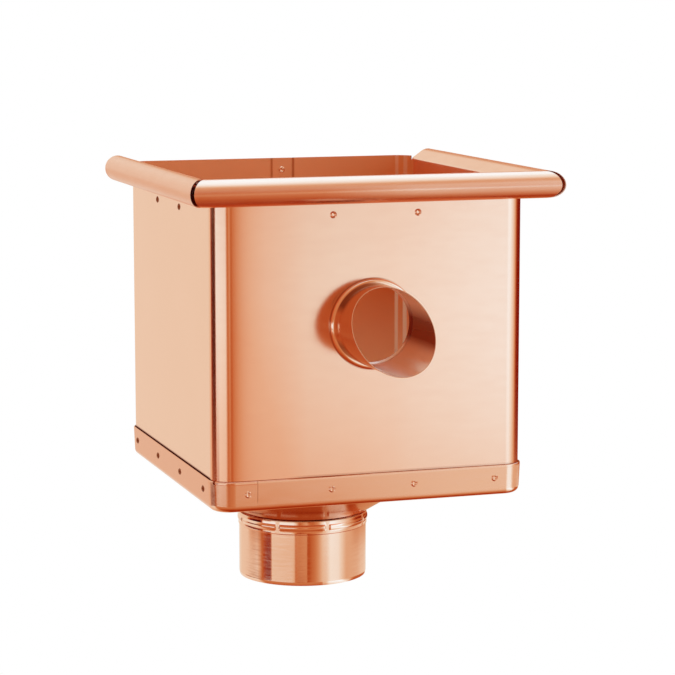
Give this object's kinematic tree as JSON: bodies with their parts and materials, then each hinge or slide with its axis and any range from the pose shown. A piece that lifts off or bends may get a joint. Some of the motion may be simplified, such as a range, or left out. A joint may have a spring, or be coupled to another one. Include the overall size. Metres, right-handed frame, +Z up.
{
  "type": "downpipe hopper head",
  "caption": "Open copper box of folded sheet that gathers roof water, with a rolled bead round its rim, an overflow spout on its front and a round outlet spigot below for a downpipe.",
  "frame": {"origin": "on the outlet's axis, at the lower end of the spigot", "axes": "+Z up, -Y to the front with the overflow spout, +Y to the building's wall, +X to the right seen from the front"},
  "size_m": [0.2846, 0.3219, 0.3338],
  "materials": {
    "copper_wall": "bright rolled copper sheet",
    "copper_tray": "bright rolled copper sheet",
    "copper_bead": "bright rolled copper sheet",
    "copper_spout": "bright drawn copper",
    "copper_outlet": "bright drawn copper",
    "copper_rivet": "bright copper"
  },
  "bodies": {
    "root": {"wall_wrap": "copper_wall", "base_tray": "copper_tray", "front_bead": "copper_bead", "left_bead": "copper_bead", "right_bead": "copper_bead", "overflow_spout": "copper_spout", "outlet_funnel": "copper_outlet", "outlet_neck": "copper_outlet", "outlet_spigot": "copper_outlet", "front_tray_rivets": "copper_rivet", "rear_tray_rivets": "copper_rivet", "left_tray_rivets": "copper_rivet", "right_tray_rivets": "copper_rivet", "front_bead_rivets": "copper_rivet", "left_bead_rivets": "copper_rivet", "right_bead_rivets": "copper_rivet", "seam_rivet_row": "copper_rivet"}
  },
  "joints": []
}
